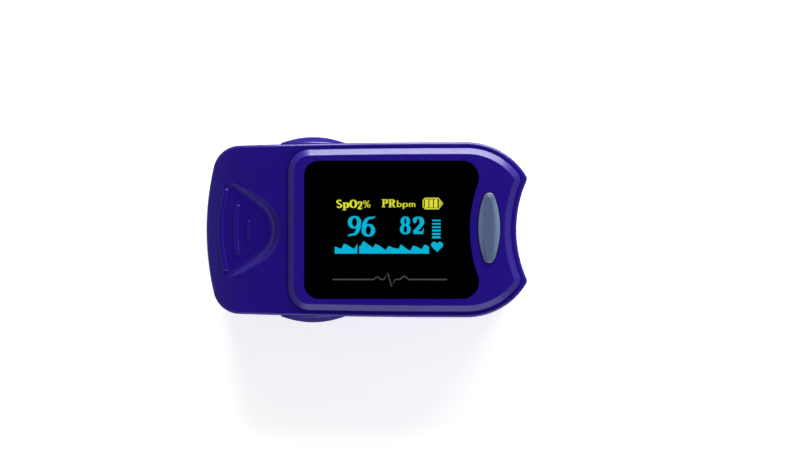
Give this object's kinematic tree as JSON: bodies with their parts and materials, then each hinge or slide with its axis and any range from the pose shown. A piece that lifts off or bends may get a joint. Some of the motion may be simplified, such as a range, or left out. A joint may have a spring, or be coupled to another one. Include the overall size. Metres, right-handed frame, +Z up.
{
  "type": "fingertip pulse oximeter",
  "caption": "Sprung clip that closes on a fingertip, with a lit display, a push button, soft finger pads and a sliding battery door.",
  "frame": {"origin": "middle of the flat underside, which is the bottom centre of the bounding box", "axes": "+X out of the finger opening, along the length; +Z up through the display; +Y to the left seen from above with the finger opening ahead"},
  "size_m": [0.0585, 0.0344, 0.0326],
  "materials": {
    "shell_plastic": "satin",
    "frame_plastic": "matte",
    "pad_silicone": "matte",
    "button_plastic": "satin",
    "lens": "gloss",
    "window_clear": "gloss",
    "gasket_black": "matte",
    "display_glass": "gloss",
    "board_green": "satin",
    "chip_black": "matte",
    "plunger": "satin",
    "steel": "polished",
    "nickel": "polished",
    "cell_metal": "satin",
    "flex_film": "satin"
  },
  "bodies": {
    "lower": {"lower_shell": "shell_plastic", "lower_frame": "frame_plastic", "lower_finger_pad": "pad_silicone", "sensor_board": "board_green", "photodiode": "chip_black", "sensor_window": "window_clear", "battery_left": "cell_metal", "battery_right": "cell_metal", "contact_link_plate": "nickel", "contact_plate_left": "nickel", "contact_plate_right": "nickel", "contact_spring_left": "steel", "contact_spring_right": "steel", "lower_screw_front_left": "steel", "lower_screw_front_right": "steel", "lower_screw_rear_left": "steel", "lower_screw_rear_right": "steel"},
    "door": {"battery_door": "shell_plastic"},
    "carrier": {"hinge_pin": "steel", "torsion_spring_left": "steel", "torsion_spring_right": "steel"},
    "upper": {"upper_shell": "shell_plastic", "display_lens": "lens", "lens_gasket": "gasket_black", "oled_panel": "display_glass", "display_bracket": "frame_plastic", "main_board": "board_green", "controller_chip": "chip_black", "driver_chip": "chip_black", "crystal": "steel", "ribbon_socket": "chip_black", "tact_switch": "chip_black", "upper_frame": "frame_plastic", "upper_finger_pad": "pad_silicone", "led_emitter": "plunger", "emitter_window": "window_clear", "flex_cable": "flex_film", "upper_screw_front_left": "steel", "upper_screw_front_right": "steel", "upper_screw_rear_left": "steel", "upper_screw_rear_right": "steel"},
    "button": {"power_button": "button_plastic", "switch_plunger": "plunger"}
  },
  "joints": [
    {"name": "pivot_float", "type": "slide", "parent": "lower", "child": "carrier", "axis": [0, 0, 1], "range_m": [0, 0.0015], "stiffness_N_per_m": 900, "springref_m": -0.001},
    {"name": "clip_hinge", "type": "hinge", "parent": "carrier", "child": "upper", "pos_m": [-0.01, 0, 0.018], "axis": [0, -1, 0], "range_deg": [0, 22], "stiffness_Nm_per_rad": 0.18, "springref_deg": -14.32, "deforming": ["torsion_spring_left", "torsion_spring_right", "flex_cable"]},
    {"name": "button_press", "type": "slide", "parent": "upper", "child": "button", "axis": [0, 0, -1], "range_m": [0, 0.0004], "stiffness_N_per_m": 1500, "springref_m": -0.0002},
    {"name": "door_slide", "type": "slide", "parent": "lower", "child": "door", "axis": [-1, 0, 0], "range_m": [0, 0.048]}
  ]
}
